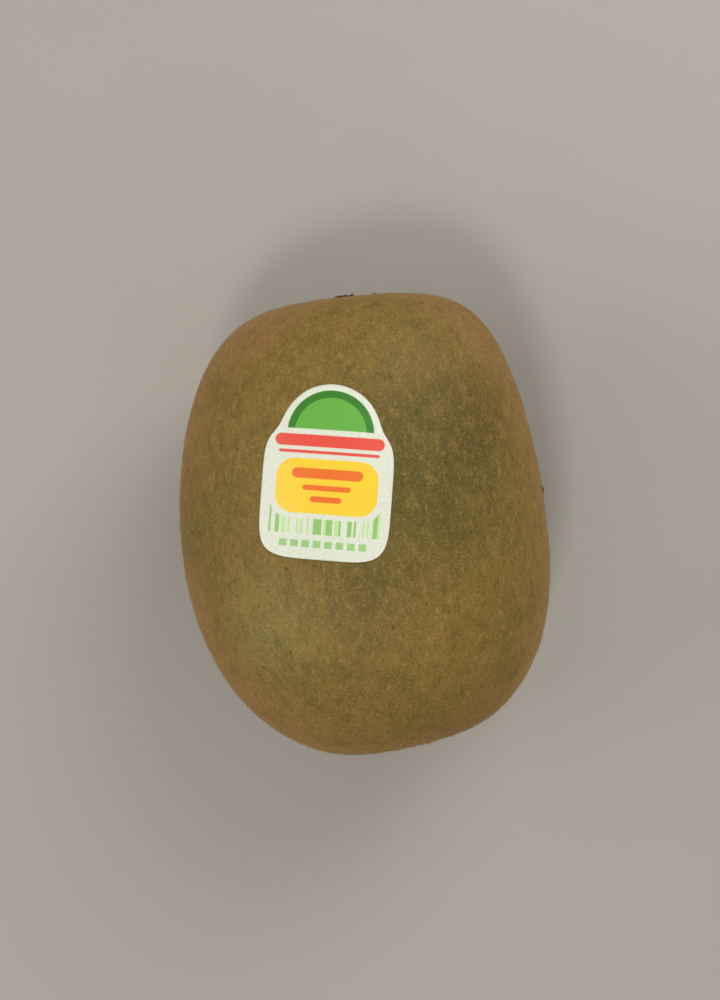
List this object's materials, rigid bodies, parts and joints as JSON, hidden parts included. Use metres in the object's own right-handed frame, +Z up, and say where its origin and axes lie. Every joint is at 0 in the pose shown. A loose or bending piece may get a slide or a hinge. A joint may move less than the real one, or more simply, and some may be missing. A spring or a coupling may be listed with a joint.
{
  "type": "golden kiwi fruit",
  "caption": "Whole golden kiwi fruit lying on its side, with its dried stalk end, sepals and flower end, and a plain sticker on the skin.",
  "frame": {"origin": "middle of the small flat spot that the fruit rests on", "axes": "+Y along the fruit from its blossom end to its stem end, +X across it, +Z up through the sticker side"},
  "size_m": [0.0556, 0.0695, 0.052],
  "materials": {
    "skin": "thin olive-brown skin, satin, with short fuzz",
    "dry_stalk": "dry woody stalk end, matt",
    "dry_sepal": "papery dried leaf, matt",
    "dry_styles": "corky dried flower end, matt",
    "sticker_film": "thin printed film, semi-gloss"
  },
  "bodies": {
    "root": {"kiwi_body": "skin", "stem_stub": "dry_stalk", "sepal_1": "dry_sepal", "sepal_2": "dry_sepal", "sepal_3": "dry_sepal", "sepal_4": "dry_sepal", "sepal_5": "dry_sepal", "style_scar": "dry_styles", "fruit_sticker": "sticker_film"}
  },
  "joints": []
}
